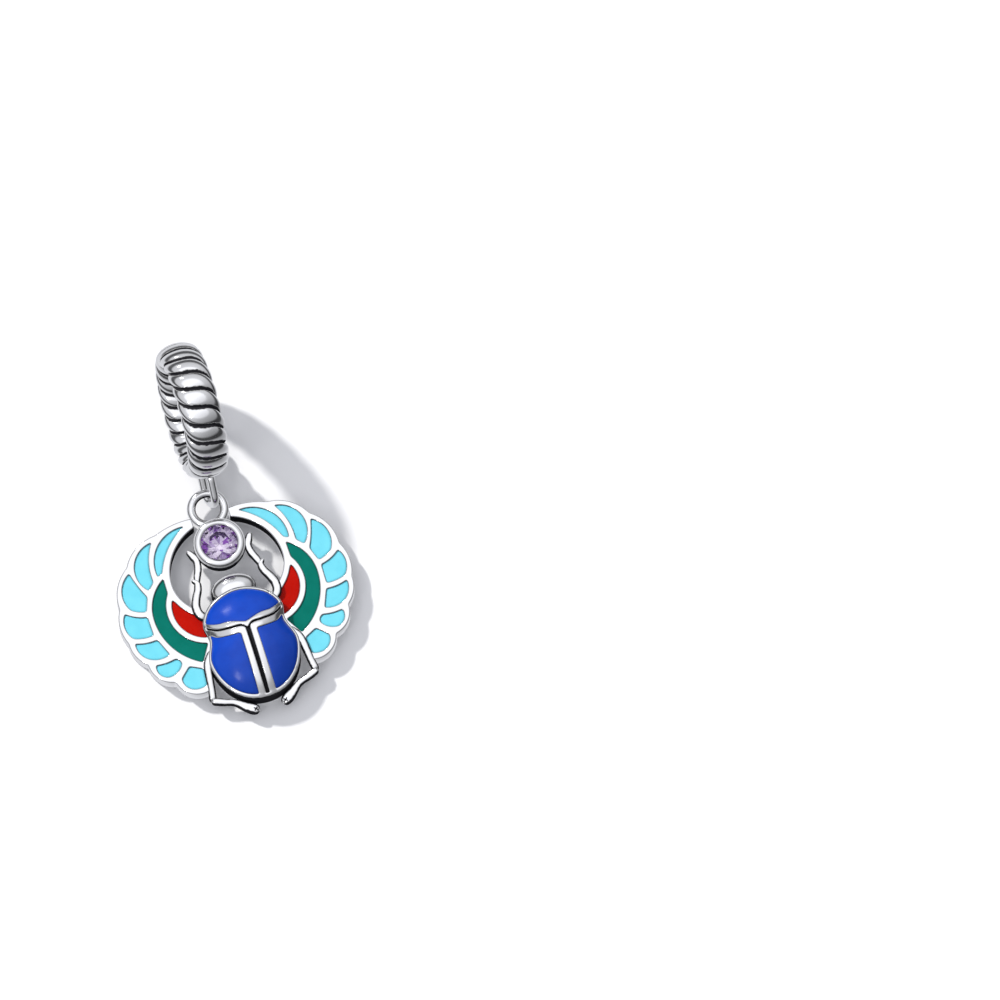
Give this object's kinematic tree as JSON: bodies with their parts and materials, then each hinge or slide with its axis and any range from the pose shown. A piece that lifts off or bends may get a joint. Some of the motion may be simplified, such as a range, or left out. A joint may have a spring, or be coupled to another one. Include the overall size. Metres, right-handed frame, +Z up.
{
  "type": "scarab charm",
  "caption": "Enamelled silver charm in the form of a winged scarab lifting a round purple stone, linked to a rope-twist ring bail that slides on a chain.",
  "frame": {"origin": "middle of the footprint on the ground, under the pendant", "axes": "+Z up from the pendant's flat back to its enamelled front, +Y from the beetle's tail towards the bail, +X across the wings"},
  "size_m": [0.0166, 0.0258, 0.0095],
  "materials": {
    "silver": "polished silver with dark oxidised recesses",
    "turquoise_enamel": "glossy",
    "green_enamel": "glossy",
    "red_enamel": "glossy",
    "blue_enamel": "glossy",
    "amethyst": "faceted and polished"
  },
  "bodies": {
    "root": {"silver_pendant": "silver", "rope_bail": "silver", "gemstone": "amethyst", "pronotum_enamel": "blue_enamel", "elytron_enamel_left": "blue_enamel", "elytron_enamel_right": "blue_enamel", "green_band_left": "green_enamel", "green_band_right": "green_enamel", "red_band_left": "red_enamel", "red_band_right": "red_enamel", "feather_left_1": "turquoise_enamel", "feather_left_2": "turquoise_enamel", "feather_left_3": "turquoise_enamel", "feather_left_4": "turquoise_enamel", "feather_left_5": "turquoise_enamel", "feather_left_6": "turquoise_enamel", "feather_left_7": "turquoise_enamel", "feather_right_1": "turquoise_enamel", "feather_right_2": "turquoise_enamel", "feather_right_3": "turquoise_enamel", "feather_right_4": "turquoise_enamel", "feather_right_5": "turquoise_enamel", "feather_right_6": "turquoise_enamel", "feather_right_7": "turquoise_enamel"}
  },
  "joints": []
}
